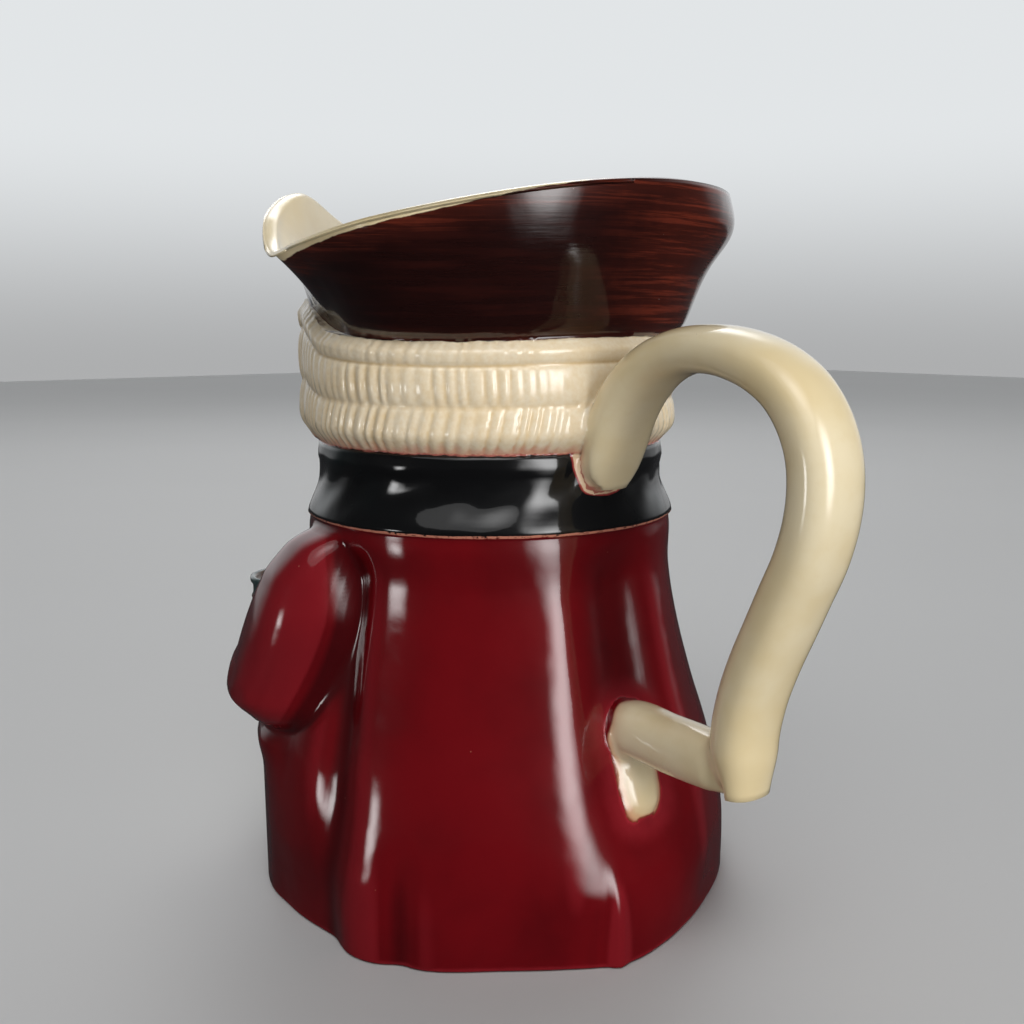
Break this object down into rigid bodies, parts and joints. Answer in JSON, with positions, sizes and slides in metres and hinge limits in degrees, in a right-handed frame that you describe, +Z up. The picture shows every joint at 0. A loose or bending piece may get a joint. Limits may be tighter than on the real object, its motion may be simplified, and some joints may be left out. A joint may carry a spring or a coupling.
{
  "type": "toby jug",
  "caption": "Hollow glazed jug shaped as a seated figure in a tricorn hat whose open crown is the mouth, with a loop handle at the back.",
  "frame": {"origin": "centre of the flat underside, on the axis of the hollow body", "axes": "+Z up; +Y towards the handle, at the figure's back, so the face looks along -Y; +X towards the figure's left hand"},
  "size_m": [0.142, 0.1992, 0.193],
  "materials": {
    "glazed_earthenware": "high gloss painted glaze: crimson coat, black stock, cream hair and handle, brown hat"
  },
  "bodies": {
    "root": {"toby_jug": "glazed_earthenware"}
  },
  "joints": []
}
